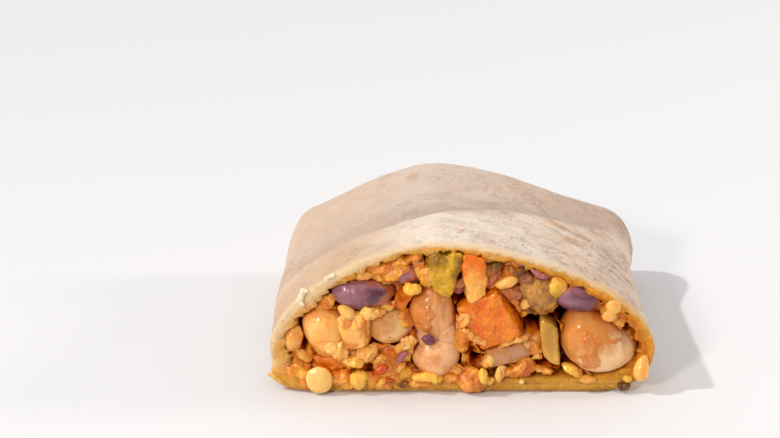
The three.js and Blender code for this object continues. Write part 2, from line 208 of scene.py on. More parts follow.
def feed(node, inputs):
    """Gives each of these inputs its value, or a link from its field."""
    for key, value in dict(inputs).items():
        socket = node.inputs[key]
        if isinstance(value, Field):
            value.tree.links.new(value.socket, socket)
        else:
            socket.default_value = (*value, 1) if socket.type == "RGBA" else value
    return node


def add(tree, kind, inputs, **settings):
    """Adds a node, sets its options and feeds its inputs."""
    node = tree.nodes.new(kind)
    for key, value in settings.items():
        setattr(node, key, value)
    return feed(node, inputs)


def made(tree, kind, inputs=(), output=0, **settings):
    """What a new node puts out."""
    return Field(tree, add(tree, kind, inputs, **settings).outputs[output])


def tree_of(*values):
    """The tree of the first field among values."""
    return next(value.tree for value in values if isinstance(value, Field))


def maths(operation, a, b=0.0, clamp=False):
    return made(tree_of(a, b), "ShaderNodeMath", {0: a, 1: b}, operation=operation,
                use_clamp=clamp)


def larger(a, b):
    return maths("MAXIMUM", a, b)


def vector_maths(operation, a, b=(0, 0, 0)):
    output = "Value" if operation in ("DOT_PRODUCT", "LENGTH") else "Vector"
    return made(a.tree, "ShaderNodeVectorMath", {0: a, 1: b}, output, operation=operation)


def scaled(vector, x, y, z):
    """Squeezes or stretches a pattern along each axis."""
    return vector_maths("MULTIPLY", vector, (x, y, z))


def lengthened(vector, factor):
    """A vector made that many times as long."""
    return made(vector.tree, "ShaderNodeVectorMath", {0: vector, "Scale": factor},
                operation="SCALE")


def joined(x=0.0, y=0.0, z=0.0):
    """A vector from its parts."""
    return made(tree_of(x, y, z), "ShaderNodeCombineXYZ", {0: x, 1: y, 2: z})


def separate(vector):
    node = add(vector.tree, "ShaderNodeSeparateXYZ", {0: vector})
    return [Field(vector.tree, socket) for socket in node.outputs]


def remap(value, low, high, to_low=0.0, to_high=1.0):
    """A smooth step from low to high."""
    return made(value.tree, "ShaderNodeMapRange",
                {"Value": value, "From Min": low, "From Max": high, "To Min": to_low,
                 "To Max": to_high}, interpolation_type="SMOOTHSTEP")


def swing(value, height):
    """Turns a 0 to 1 pattern into a height either side of nothing."""
    return (value - 0.5) * (2 * height)


def noise(vector, size, detail=2.0, rough=0.5, warp=0.0):
    """Soft noise about size across, in millimetres."""
    return made(vector.tree, "ShaderNodeTexNoise",
                {"Vector": vector, "Scale": 1 / (size * MM), "Detail": detail,
                 "Roughness": rough, "Distortion": warp})


def cells(vector, size, feature="F1", output="Distance"):
    """Cells of that size, in millimetres: how far their middles are, or a random colour."""
    return made(vector.tree, "ShaderNodeTexVoronoi",
                {"Vector": vector, "Scale": 1 / (size * MM)}, output, feature=feature)


def blend(factor, a, b, mode="MIX"):
    """Mixes two colours."""
    return made(tree_of(factor, a, b), "ShaderNodeMix", {0: factor, 6: a, 7: b}, 2,
                data_type="RGBA", blend_type=mode)


# ------------------------------------------------------------------ relief in the meshes
def relief_tree(name, build):
    """A geometry tree that runs build(geometry, position, normal) and puts out its result."""
    tree = bpy.data.node_groups.new(name, "GeometryNodeTree")
    for way in ("INPUT", "OUTPUT"):
        tree.interface.new_socket("Geometry", in_out=way, socket_type="NodeSocketGeometry")
    given = [made(tree, kind) for kind in ("NodeGroupInput", "GeometryNodeInputPosition",
                                           "GeometryNodeInputNormal")]
    add(tree, "NodeGroupOutput", {0: build(*given)})
    return tree


def keep(geometry, name, value, domain="POINT"):
    """Stores a number on the surface for the materials to read."""
    return made(geometry.tree, "GeometryNodeStoreNamedAttribute",
                {"Geometry": geometry, "Name": name, "Value": value}, data_type="FLOAT",
                domain=domain)


def shifted(geometry, offset):
    """Moves the surface by an offset."""
    return made(geometry.tree, "GeometryNodeSetPosition",
                {"Geometry": geometry, "Offset": offset})


def push(geometry, normal, height):
    """Moves the surface out along its normal."""
    return shifted(geometry, lengthened(normal, height))


def above_table(geometry):
    """Presses flat what would sink into the table."""
    x, y, z = separate(made(geometry.tree, "GeometryNodeInputPosition"))
    return made(geometry.tree, "GeometryNodeSetPosition",
                {"Geometry": geometry, "Position": joined(x, y, larger(z, 0.0))})


# ------------------------------------------------------------------ mesh helpers
def deselect():
    if bpy.context.object and bpy.context.object.mode != "OBJECT":
        bpy.ops.object.mode_set(mode="OBJECT")
    bpy.ops.object.select_all(action="DESELECT")


def pick(obj):
    """Makes obj the only selected and the active object."""
    deselect()
    obj.select_set(True)
    bpy.context.view_layer.objects.active = obj
    return obj


def node_copy(node, name):
    """A merged copy of a solid's mesh, with quads where they fit, as an object of its own."""
    piece = bpy.data.objects.new(name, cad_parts[node].data.copy())
    piece.data.name = name
    piece.data.materials.clear()
    bpy.context.scene.collection.objects.link(piece)
    pick(piece)
    bpy.ops.object.mode_set(mode="EDIT")
    bpy.ops.mesh.select_all(action="SELECT")
    bpy.ops.mesh.remove_doubles(threshold=0.02 * MM)
    bpy.ops.mesh.tris_convert_to_quads(face_threshold=math.pi, shape_threshold=math.pi)
    bpy.ops.object.mode_set(mode="OBJECT")
    return piece


def modify(piece, kind, **settings):
    """Adds a modifier, sets it and applies it."""
    pick(piece)
    bpy.ops.object.modifier_add(type=kind)
    modifier = piece.modifiers[-1]
    for key, value in settings.items():
        setattr(modifier, key, value)
    bpy.ops.object.modifier_apply(modifier=modifier.name)
    return piece


def change_edges(piece, test, change, **settings):
    """Runs an edit on the edges whose ends pass a test, then subdivides the piece smoothly."""
    pick(piece)
    for part in (piece.data.vertices, piece.data.edges, piece.data.polygons):
        part.foreach_set("select", [False] * len(part))
    for edge in piece.data.edges:
        edge.select = test(*[piece.data.vertices[v].co for v in edge.vertices])
    bpy.ops.object.mode_set(mode="EDIT")
    bpy.ops.mesh.select_mode(type="EDGE")
    change(**settings)
    modify(piece, "SUBSURF", levels=1, render_levels=1)


def join_up(pieces, name):
    """Joins objects into one and names it."""
    deselect()
    for piece in pieces:
        piece.select_set(True)
    bpy.context.view_layer.objects.active = pieces[0]
    bpy.ops.object.join()
    whole = bpy.context.object
    whole.name = whole.data.name = name
    return whole


def finish(piece, material, slot, *nodes):
    """Gives a piece its material, rides it on the body, and lets it stand for its solids."""
    pick(piece)
    bpy.ops.object.shade_smooth()
    piece.data.materials.clear()
    piece.data.materials.append(material)
    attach(piece, "root")
    if nodes:
        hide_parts(*nodes)
    return piece


# ------------------------------------------------------------------ shared material effects
def effect(name, inputs, outputs, build):
    """A shader node group with named sockets, made once."""
    if name in bpy.data.node_groups:
        return bpy.data.node_groups[name]
    tree = bpy.data.node_groups.new(name, "ShaderNodeTree")
    for label, kind, default in inputs:
        socket = tree.interface.new_socket(label, in_out="INPUT", socket_type=kind)
        if default is not None:
            socket.default_value = default
    for label, kind in outputs:
        tree.interface.new_socket(label, in_out="OUTPUT", socket_type=kind)
    results = build(outputs_of(tree, tree.nodes.new("NodeGroupInput")))
    add(tree, "NodeGroupOutput", dict(enumerate(results)))
    return tree


def outputs_of(tree, node):
    """A node's outputs by name."""
    return {socket.name: Field(tree, socket) for socket in node.outputs}


def placed_effect(group, inputs):
    """A shared effect, placed in a material and fed."""
    tree = tree_of(*inputs.values())
    return outputs_of(tree, add(tree, "ShaderNodeGroup", inputs, node_tree=group))


FLOAT, VECTOR, COLOUR = "NodeSocketFloat", "NodeSocketVector", "NodeSocketColor"
FOOD_PAINTED_SHADE, MASH_PAINTED_SHADE = shade(206, 114, 60), shade(222, 128, 80)  # painted shade: the colours multiplied in between the pieces


def sauce_effect():
    """Breaks up the edge of the sauce that lies on a piece, and gives its tone and grit."""

    def build(given):
        place = given["Place"]
        fine = noise(place, 0.7, 3, 0.65)
        grit = remap(cells(place, 0.5), 0.5, 0.12)
        mask = remap(given["Sauce"] + swing(fine, 0.35), 0.12, 0.85)
        tone = remap(given["Grain"] + swing(fine, 0.5) + swing(noise(place, 2.6), 0.8), 0.2, 1.1)
        return mask, tone, mask * (0.3 + grit * 0.4)

    return effect("Sauce smears",
                  [("Place", VECTOR, None), ("Sauce", FLOAT, 0.0), ("Grain", FLOAT, 0.5)],
                  [("Mask", FLOAT), ("Tone", FLOAT), ("Height", FLOAT)], build)


def mottle_effect():
    """Two tones in soft blotches with fine speckles, one of them gaining where Lean says so."""

    def build(given):
        place = given["Place"]
        wide = noise(vector_maths("MULTIPLY", place, given["Stretch"]), 3.6, 4, 0.6, 0.3)
        fine = noise(place, 0.5, 2, 0.6)
        tone = remap(wide * 0.85 + fine * 0.15 + given["Lean"], 0.38, 0.66)
        return blend(tone, given["Light"], given["Dark"]), tone

    return effect("Mottled tones",
                  [("Place", VECTOR, None), ("Stretch", VECTOR, (1, 1, 1)),
                   ("Light", COLOUR, None), ("Dark", COLOUR, None), ("Lean", FLOAT, 0.0)],
                  [("Colour", COLOUR), ("Tone", FLOAT)], build)


def painted_shade_effect():
    """Paints shade: darkens and reddens a colour the further it lies behind the cut, between the
    pieces.
    """

    def build(given):
        place = given["Place"]
        depth = separate(place)[1] - CUT + noise(place, 3.0, 2) * (1.5 * MM)
        painted_shading = blend(1.0, given["Colour"], given["Deep"], "MULTIPLY")
        painted_shading = blend(remap(depth, 1.8 * MM, 6.5 * MM), given["Colour"], painted_shading)
        darkest = blend(1.0, painted_shading, shade(132, 62, 46), "MULTIPLY")
        return (blend(remap(depth, 5.0 * MM, 8.0 * MM), painted_shading, darkest),)

    return effect("Painted shade between pieces",
                  [("Place", VECTOR, None), ("Colour", COLOUR, None), ("Deep", COLOUR, None)],
                  [("Colour", COLOUR)], build)


def with_painted_shade(place, base, deep):
    """The colour with the painted shade between the pieces on it."""
    return placed_effect(painted_shade_effect(), {"Place": place, "Colour": base, "Deep": deep})["Colour"]


def new_material(name, *kept):
    """A material, its shader, the place on the object, and what the relief kept there."""
    material = bpy.data.materials.new(name)
    material.use_nodes = True
    tree = material.node_tree
    place = made(tree, "ShaderNodeTexCoord", output="Object")
    fields = [made(tree, "ShaderNodeAttribute", output="Fac", attribute_name=key) for key in kept]
    return material, tree.nodes["Principled BSDF"], place, *fields


def bumped(height, strength, distance):
    """Fine relief for a shader, with the distance in millimetres."""
    return made(height.tree, "ShaderNodeBump",
                {"Height": height, "Strength": strength, "Distance": distance * MM})


def moist(shader, depth, radius, coat, gloss=0.26):
    """The settings that all moist food shares, set on the shader itself."""
    feed(shader, {"Subsurface Weight": depth, "Subsurface Radius": radius,
                  "Subsurface Scale": 1.8 * MM, "Specular IOR Level": gloss,
                  "Coat Weight": coat, "Coat Roughness": 0.1})


def food_material(name, light, dark, opaque=0.6, gloss=0.2, depth=0.35, lean=0.0,
                  stretch=(1, 1, 1), pores=0.25, pore_size=0.6, coat=0.4, glint=0.26):
    """Moist food with two tones, pores and the sauce that its relief lays on it. Where the
    piece has two ends, lean makes one of them the darker."""
    food = bpy.context.scene.burrito_food
    material, shader, place, sauce, grain, end = new_material(name, "sauce", "grain", "end")
    tones = placed_effect(mottle_effect(), {"Place": place, "Stretch": stretch, "Light": light,
                                            "Dark": dark, "Lean": end * lean})
    smears = placed_effect(sauce_effect(), {"Place": place, "Sauce": sauce, "Grain": grain})
    sauced = blend(smears["Tone"], food.sauce, food.sauce_pale)
    base = blend(smears["Mask"] * opaque, tones["Colour"], sauced)
    wet = gloss - 0.1 + smears["Mask"] * 0.04 + noise(place, 1.4) * 0.14
    height = smears["Height"] * 0.5 + noise(place, pore_size, 3, 0.65) * pores
    feed(shader, {"Base Color": with_painted_shade(place, base, FOOD_PAINTED_SHADE), "Roughness": wet,
                  "Normal": bumped(height, 0.9, 0.5)})
    moist(shader, depth, (1.0, 0.5, 0.25), coat, glint)
    return material


# ------------------------------------------------------------------ tortilla
def off_axis(position):
    """The way straight out from the line through the middle of the roll."""
    return vector_maths("NORMALIZE", scaled(vector_maths("SUBTRACT", position, AXIS), 1, 0, 1))


def tortilla_relief(geometry, position, normal):
    shell = bpy.context.scene.burrito_shell
    x, y, z = separate(position)
    behind = y - CUT
    from_axis = off_axis(position)
    outward = vector_maths("DOT_PRODUCT", normal, from_axis)
    facing = separate(normal)[1]
    inner = remap(outward, 0.15, -0.25) * remap(behind, 0.034, 0.026)
    rim = remap(facing, -0.3, -0.75) * remap(behind, 0.003, 0.001)
    stray = noise(position, 5.0, 3, 0.6)
    corner = remap(z, 0.009, 0.004, 0.0, 0.004) * remap(x, -0.03, -0.038)
    reach = remap(x, 0.005, 0.04, 0.0005, 0.006) + corner + stray * 0.0026
    near = remap(behind, reach + 0.0008, reach * 0.3)
    soak = maths("MAXIMUM", larger(inner, rim), near, clamp=True)
    soft = made(soak.tree, "GeometryNodeBlurAttribute", {"Value": soak, "Iterations": 2},
                data_type="FLOAT")
    geometry = keep(geometry, "soak", soft)
    geometry = keep(geometry, "inside", inner)

    low = remap(z, 0.0012, 0.006)
    swell = swing(noise(position, 17, 1, 0.4), shell.swell)
    creases = swing(noise(scaled(position, 0.16, 1, 0.16), 1.5, 3, 0.55, 0.6), shell.crease)
    folds = swing(noise(scaled(position, 0.22, 1, 0.22), 6.5, 2, 0.5, 0.5), 1.4 * shell.crease)
    blisters = remap(cells(position, 6.5), 0.34, 0.05, 0.0, shell.blister)
    skin = (creases + folds + blisters) * (1.0 - soft)
    crumbly = swing(noise(position, 1.5, 4, 0.65), 0.32 * MM) * soft
    geometry = push(geometry, normal, (swell + skin + crumbly) * low)

    edge = remap(behind, 0.004, 0.0)
    wander = swing(noise(scaled(position, 1, 0, 1), 11, 3, 0.6), shell.ragged)
    forward = joined(y=wander * edge)
    torn = remap(noise(scaled(position, 1, 0.3, 1), 2.2, 4, 0.7), 0.35, 0.68, -0.9 * MM, 1.4 * MM)
    torn = torn * edge * remap(z, 0.004, 0.007)
    doubled = remap(x, -0.03, -0.036, 0.0, 0.9 * MM) * remap(behind, 0.01, 0.003)
    tatter = (torn + doubled) * remap(into_the_wall(position), 0.8 * MM, 1.9 * MM)
    inwards = lengthened(from_axis, tatter * -1.0)
    return above_table(shifted(geometry, vector_maths("ADD", forward, inwards)))


# Toasted spots on the skin: x, y, z, size and strength, in millimetres.
SPOTS = ((25.4, -9.6, 26.4, 8.0, 0.8), (22.6, -1.0, 27.6, 7.0, 0.9), (29.0, 0.0, 24.4, 5.0, 0.6),
         (9.3, -6.2, 32.2, 2.2, 1.0), (-1.6, -26.5, 35.1, 2.2, 0.7), (-7.0, -34.2, 35.2, 1.8, 1.0),
         (33.0, 7.5, 22.2, 4.6, 0.5), (41.5, 27.0, 16.0, 5.0, 0.8), (41.5, 30.0, 9.0, 4.0, 0.5),
         (-22.0, 6.0, 29.0, 5.0, 0.6), (-33.0, -10.0, 17.0, 4.0, 0.5),
         (-12.0, 22.0, 31.0, 4.0, 0.6))


def tortilla_skin_colour(place, shell):
    """Dry floury skin: fine fibres, warm clouds and toasted spots, with painted shade greying the
    valley behind the crest, a left slope darkened partly by oil and partly as painted shade, and
    dark crease lines round the roll painted as shade.
    """
    x, y, _ = separate(place)
    fibres = noise(scaled(place, 0.4, 1, 0.4), 0.38, 4, 0.7, 0.8)
    bands = noise(scaled(place, 0.55, 1, 0.55), 2.6, 5, 0.65, 1.0)
    cloud = noise(place, 10, 4, 0.6, 0.3)
    speckle = noise(place, 0.5, 3, 0.7)
    warmth = fibres * 0.5 + bands * 0.14 + cloud * 0.24 + speckle * 0.12
    baked = warmth + remap(x, -0.01, 0.035, -0.02, 0.05)
    skin = blend(remap(baked, 0.45, 0.61), shell.flour, shell.warm)

    # Painted shade: the skin greys in the valley behind the crest, and in loose thin patches.
    hollow = y - (CUT + 20 * MM) - larger(x, 0.0) * 0.8 + swing(bands, 4 * MM)
    painted_shading = remap(hollow, -2 * MM, 8 * MM, 0.0, 0.85) * remap(hollow, 11 * MM, 24 * MM, 1.0, 0.65)
    thin = remap(noise(scaled(place, 0.6, 1, 0.6), 3.0, 3, 0.6, 0.4), 0.5, 0.7, 0.0, 0.35)
    skin = blend(larger(painted_shading, thin), skin, shell.valley_shade_grey)
    # Partly oil, partly painted shade: the left slope, which the sun lights, is darkened towards
    # the cut.
    oily_and_shaded = remap(x, -0.01, -0.028) * remap(y - CUT, 34 * MM, 8 * MM, 0.45, 1.0)
    skin = blend(oily_and_shaded + swing(bands, 0.15), skin, shell.oily_and_shaded)

    warp = made(place.tree, "ShaderNodeTexNoise", {"Vector": place, "Scale": 500.0, "Detail": 3.0},
                "Color")
    stray = lengthened(vector_maths("SUBTRACT", warp, (0.5, 0.5, 0.5)), 3.5 * MM)
    strayed = vector_maths("ADD", place, stray)
    toasted = 0.0
    for sx, sy, sz, size, strength in SPOTS:
        away = vector_maths("SUBTRACT", strayed, (sx * MM, sy * MM, sz * MM))
        toasted = larger(toasted, remap(vector_maths("LENGTH", away), 0.62 * size * MM,
                                        0.2 * size * MM, 0.0, strength))
    toasted *= remap(speckle, 0.36, 0.6, 0.1, 1.0)
    spot_field = noise(scaled(place, 0.6, 1, 0.6), 4.2, 4, 0.62, 0.8)
    spots = remap(spot_field, 0.62, 0.74, 0.0, 0.7) * remap(speckle, 0.36, 0.58)
    skin = blend(larger(toasted, spots), skin, shell.toast)

    # Painted shade: dark lines in the fine creases round the roll, over real dark specks.
    crease = abs(noise(scaled(place, 0.5, 1, 0.5), 1.1, 4, 0.65, 1.0) - 0.5)  # thin wavy lines
    right = remap(x, -0.02, 0.035, 0.25, 1.0)
    where = remap(noise(place, 6, 3, 0.6), 0.42, 0.6, 0.1, 1.0)
    creases = remap(crease, 0.035, 0.0) * (right * where)
    creases = larger(creases, remap(fibres, 0.43, 0.34, 0.0, 0.8) * right)
    speck_field = noise(scaled(place, 0.5, 1, 0.5), 0.8, 2, 0.5)
    specks = remap(speck_field, 0.68, 0.76) * where
    crease_shade_and_specks = larger(creases * 0.9, specks) * remap(y, 0.022, 0.004, 0.4, 0.95)
    return blend(crease_shade_and_specks, skin, shell.char), fibres * 0.9 + speckle * 0.5 + crease_shade_and_specks * -0.8


def into_the_wall(place):
    """Distance in from the outer skin, from the shape of the roll's section at the cut."""
    x, _, z = separate(place)
    aside = x - RIDGE
    left = maths("LESS_THAN", aside, 0.0)
    reach = RIGHT_REACH + left * (LEFT_REACH - RIGHT_REACH)
    across = abs(aside) / reach
    up = larger(z - WIDE_Z, 0.0) / (CROWN_Z - WIDE_Z)
    share = (across ** DOME + up ** DOME) ** (1 / DOME)
    from_middle = vector_maths("LENGTH", joined(aside, z - WIDE_Z))
    inwards = (1.0 - share) * from_middle
    lower = maths("LESS_THAN", z, WIDE_Z)
    side = (1.0 - across) * reach
    return maths("MINIMUM", side, z) * lower + inwards * (1.0 - lower)


def tortilla_cut_colour(place, shell, inside):
    """The soaked edge: cream turning yellow inwards, oranger to the right, ochre underneath."""
    x, y, z = separate(place)
    stain = noise(place, 3.0, 4, 0.65, 0.5)
    pores = noise(place, 0.5, 3, 0.7)
    ragged = swing(noise(place, 1.8, 4, 0.7, 0.5), 0.8 * MM)
    wall = (into_the_wall(place) + ragged
            + remap(x, -0.026, -0.014, -0.8 * MM, 0.0) * remap(z, 0.008, 0.018))
    strayed = x + swing(stain, 0.01)
    right = remap(strayed, 0.014, 0.034, 0.14, 0.6) + remap(strayed, -0.035, -0.022, -0.22, 0.0)
    deep = (remap(wall, 0.1 * MM, 1.3 * MM, -0.2, 0.45)
            + remap(wall, 1.5 * MM, 2.4 * MM, 0.0, 0.5) * remap(strayed, -0.012, 0.006, 0.3, 1.0))
    behind = y - CUT
    # Partly real soaking, partly painted shade: the inside wall stains more the deeper it lies
    # behind the cut.
    dark = inside * remap(behind, 1.0 * MM, 6.0 * MM, 0.1, 0.7)
    wetness = right + deep + dark + swing(stain, 0.3) + swing(pores, 0.2)
    wet = blend(remap(wetness, 0.0, 0.8), shell.cream, shell.soaked)
    wet = blend(remap(wetness, 0.7, 1.6), wet, shell.stained)
    flecks = remap(noise(place, 1.3, 4, 0.7, 0.6), 0.52, 0.68, 0.0, 0.6)
    wet = blend(flecks * remap(wetness, -0.1, 0.4), wet, shell.stained)
    fluff = remap(noise(place, 1.6, 4, 0.7, 0.6), 0.52, 0.68, 0.0, 0.6)
    wet = blend(fluff * remap(strayed, 0.014, 0.03, 1.0, 0.35), wet, shell.cream)

    streaks = noise(scaled(place, 0.12, 1, 1), 0.8, 3, 0.6, 0.3)
    level = z + swing(streaks, 0.9 * MM)
    # Painted shade: the band turns dark ochre where it meets the table.
    floor = blend(remap(level, 0.0, 1.3 * MM), shell.ochre_dark_shade, shell.ochre)
    floor = blend(remap(level, 2.2 * MM, 3.4 * MM), floor, shell.soaked)
    brown = remap(noise(scaled(place, 0.5, 1, 1), 3.4, 4, 0.65, 0.6), 0.48, 0.66)
    floor = blend(brown * 0.65, floor, shell.ochre_dark_shade)
    seam = abs(z - (2.0 * MM + swing(noise(scaled(place, 1, 0, 0), 14), 0.9 * MM)))
    line = remap(seam, 0.3 * MM, 0.05 * MM) * remap(noise(scaled(place, 1, 0, 0), 9, 2), 0.42, 0.58)
    floor = blend(line * 0.6, floor, shell.ochre_dark_shade)
    # Partly real soaking, partly painted shade: the layer's inside turns stained deeper behind the
    # cut.
    floor = blend(inside * remap(behind, 1.5 * MM, 6.0 * MM), floor, shell.stained)
    low = remap(z + swing(stain, 2.4 * MM), 6.5 * MM, 3.6 * MM)
    return blend(low, wet, floor), pores - line


def tortilla_material():
    shell = bpy.context.scene.burrito_shell
    material, shader, place, soak, inside = new_material("Tortilla", "soak", "inside")
    dry, fine = tortilla_skin_colour(place, shell)
    wet, pores = tortilla_cut_colour(place, shell, inside)
    x, y, _ = separate(place)
    outer = remap(into_the_wall(place), 0.9 * MM, 0.1 * MM) * remap(x, 0.032, 0.02, 0.1, 0.5)
    wavy = noise(place, 4.0, 3, 0.6)
    edge = soak + swing(noise(place, 1.0, 4, 0.7), 0.3) + swing(wavy, 0.3) + outer * -1.0
    warmed = remap(y - CUT + swing(wavy, 2.0 * MM), 4.0 * MM, 0.0, 0.0, 0.65)
    dry = blend(warmed, dry, shell.cream)
    feed(shader, {"Base Color": blend(remap(edge, 0.1, 0.9), dry, wet),
                  "Roughness": 0.84 - soak * 0.38, "Coat Weight": soak * 0.2,
                  "Normal": bumped(fine + pores * (soak * 0.4), 0.8, 0.8),
                  "Coat Roughness": 0.18, "Specular IOR Level": 0.15, "Subsurface Weight": 0.3,
                  "Subsurface Radius": (1.0, 0.6, 0.35), "Subsurface Scale": 1.2 * MM})
    return material


def along_the_roll(a, b):
    """Whether an edge with these ends is one of the long ones from end to end of the roll."""
    return abs(a.y - b.y) > max(1.0 * MM, 2.5 * math.hypot(a.x - b.x, a.z - b.z))


class BURRITO_OT_tortilla(bpy.types.Operator):
    """Rolls the tortilla's skin over its solid"""

    bl_idname = "burrito.tortilla"
    bl_label = "Tortilla"

    def execute(self, context):
        piece = node_copy("tortilla", "tortilla_skin")
        change_edges(piece, lambda a, b: max(abs(a.y - CUT), abs(b.y - CUT)) < 0.01 * MM,
                     bpy.ops.transform.edge_crease, value=0.7)
        change_edges(piece, along_the_roll, bpy.ops.mesh.subdivide, number_cuts=3)
        modify(piece, "NODES", node_group=relief_tree("Tortilla relief", tortilla_relief))
        finish(piece, tortilla_material(), "tortilla", "tortilla")
        return {"FINISHED"}


# ------------------------------------------------------------------ mash
# Gaps between the pieces: x, z, width, height and depth, in millimetres.
HOLES = ((17.0, 16.0, 6.4, 3.6, 7), (1.6, 9.4, 3.6, 2.4, 2.6), (4.4, 7.8, 3.0, 2.2, 2.4),
         (-0.6, 22.2, 3.4, 3.0, 5), (-34.9, 13.6, 3.0, 10.0, 5), (21.8, 18.6, 6.0, 3.4, 5),
         (13.6, 27.4, 5.0, 3.0, 3), (-30.8, 19.6, 3.4, 2.6, 4), (-11.2, 17.6, 2.4, 4.0, 4),
         (17.4, 6.2, 6.0, 2.4, 4))


def mash_relief(geometry, position, normal):
    food = bpy.context.scene.burrito_food
    behind = separate(position)[1] - CUT
    near = remap(behind, 0.013, 0.009)
    proud = larger(0.9 * MM - behind, 0.0)
    gaps = remap(noise(scaled(position, 1, 0.2, 1), 5.5, 2, 0.5), 0.48, 0.68)
    back = proud * 0.65 + gaps * food.hollow
    for x, z, wide, high, deep in HOLES:
        back += remap(how_near(position, x, z, wide, high), 1.3, 0.6, 0.0, deep * MM)
    geometry = shifted(geometry, joined(y=back * near))
    spread = (remap(into_the_wall(position), 5.0 * MM, 3.2 * MM, 0.0, 1.2 * MM)
              * remap(separate(position)[0], -0.034, -0.028))
    geometry = shifted(geometry, lengthened(off_axis(position), spread * near))
    lumps = 0.5 - cells(position, 2.3, "SMOOTH_F1")
    grains = 0.5 - cells(position, 1.2, "SMOOTH_F1")
    paste = noise(position, 2.6, 4, 0.62, 0.5) - 0.5
    height = lumps + grains * 0.35 + paste * 3.6
    geometry = keep(geometry, "height", height)
    geometry = keep(geometry, "tint", separate(cells(position, 1.2, output="Color"))[0])
    geometry = keep(geometry, "kind", separate(cells(position, 2.3, output="Color"))[1])
    return above_table(push(geometry, normal, height * food.grain * near))


def mash_material():
    food = bpy.context.scene.burrito_food
    material, shader, place, height, tint, kind = new_material("Mash", "height", "tint", "kind")
    fine = noise(place, 0.7, 3, 0.7)
    wide = noise(place, 4.5, 4, 0.6, 0.4)
    # Painted shade and painted light: the mash darkens in its relief's hollows and pales on its
    # crests.
    level = height + swing(wide, 2.2) + swing(fine, 0.6) + swing(tint, 0.5)
    base = blend(remap(level, -1.6, 0.1), food.mash_deep_shade, food.mash)
    base = blend(remap(level, 0.2, 1.5), base, food.mash_pale_and_crest_light)
    base = blend(remap(kind, 0.84, 0.9) * 0.7, base, food.kernel)
    base = blend(remap(kind, 0.16, 0.1) * 0.5, base, food.pinto)
    grit = 1.0 - cells(place, 0.7, "SMOOTH_F1")
    feed(shader, {"Base Color": with_painted_shade(place, base, MASH_PAINTED_SHADE), "Roughness": 0.1 + fine * 0.2,
                  "Normal": bumped(grit + fine, 0.6, 0.3)})
    moist(shader, 0.5, (1.0, 0.45, 0.15), 0.35, 0.34)
    return material


class BURRITO_OT_mash(bpy.types.Operator):
    """Gives the filling its crumbly face"""

    bl_idname = "burrito.mash"
    bl_label = "Mash"

    def execute(self, context):
        food = context.scene.burrito_food
        piece = node_copy("filling", "mash")
        modify(piece, "REMESH", mode="VOXEL", voxel_size=food.voxel)
        modify(piece, "SMOOTH", factor=0.5, iterations=5)
        hidden = piece.vertex_groups.new(name="hidden")
        hidden.add([v.index for v in piece.data.vertices if v.co.y > CUT + 14 * MM], 1, "REPLACE")
        modify(piece, "DECIMATE", ratio=0.5, vertex_group="hidden")
        piece.vertex_groups.clear()
        modify(piece, "NODES", node_group=relief_tree("Mash relief", mash_relief))
        finish(piece, mash_material(), "mash", "filling")
        return {"FINISHED"}


# ------------------------------------------------------------------ beans and vegetables
def how_near(position, x, z, wide, high):
    """Distance from the middle of an oval on the cut, 1 being its edge, sizes in millimetres."""
    offset = vector_maths("SUBTRACT", position, (ZERO_X + x * MM, 0, z * MM))
    return vector_maths("LENGTH", scaled(offset, 2 / (wide * MM), 0, 2 / (high * MM)))


def resurface(piece, name, voxel, smoothing, lift, wave, wave_size, grit, grit_size, cover, thick,
              granules, smears=(), ends=None):
    """Remeshes a piece finely, smooths it and gives it its relief, in mm: a little growth all
    over, slow waves, a finer grit, granules, and grainy sauce, which covers that share of it and
    lies thick at its smears. A glaze of it creeps up from the mash."""

    def build(geometry, position, normal):
        slow = swing(noise(position, wave_size, 2, 0.5), wave * MM)
        fine = swing(noise(position, grit_size, 3, 0.6), grit * MM)
        mash = made(position.tree, "GeometryNodeObjectInfo", {0: bpy.data.objects["mash"]},
                    "Geometry")
        away = made(position.tree, "GeometryNodeProximity", {0: mash}, "Distance",
                    target_element="FACES")
        field = noise(position, 3.8, 2, 0.5, 0.4) * 0.75 + noise(position, 1.2, 2, 0.6) * 0.25
        for smear in smears:
            field += remap(how_near(position, *smear), 1.8, 0.3, 0.0, 0.27)
        edge = 0.72 - 0.4 * cover
        glaze = remap(away + swing(field, 3.0 * MM), 2.4 * MM, 0.4 * MM, 0.0, 0.6)
        sauce = larger(glaze, remap(field, edge - 0.09, edge + 0.07))
        crust = remap(field, edge, edge + 0.08)
        cluster = remap(noise(position, 2.0, 2, 0.5), 0.42, 0.58, 0.25, 1.0)
        grain = remap(cells(position, 0.9), 0.62, 0.1) * cluster * crust
        lumps = remap(cells(position, 1.0), 0.6, 0.12, 0.0, granules * MM)
        layer = crust * (0.3 * thick * MM) + grain * (thick * MM) + lumps
        geometry = keep(geometry, "sauce", sauce)
        geometry = keep(geometry, "grain", grain)
        if ends:
            along = vector_maths("SUBTRACT", position, ends[0])
            geometry = keep(geometry, "end", vector_maths("DOT_PRODUCT", along, ends[1]))
        return above_table(push(geometry, normal, slow + fine + layer + lift * MM))

    modify(piece, "REMESH", mode="VOXEL", voxel_size=voxel * MM)
    modify(piece, "SMOOTH", factor=0.5, iterations=smoothing)
    modify(piece, "NODES", node_group=relief_tree(name + " relief", build))


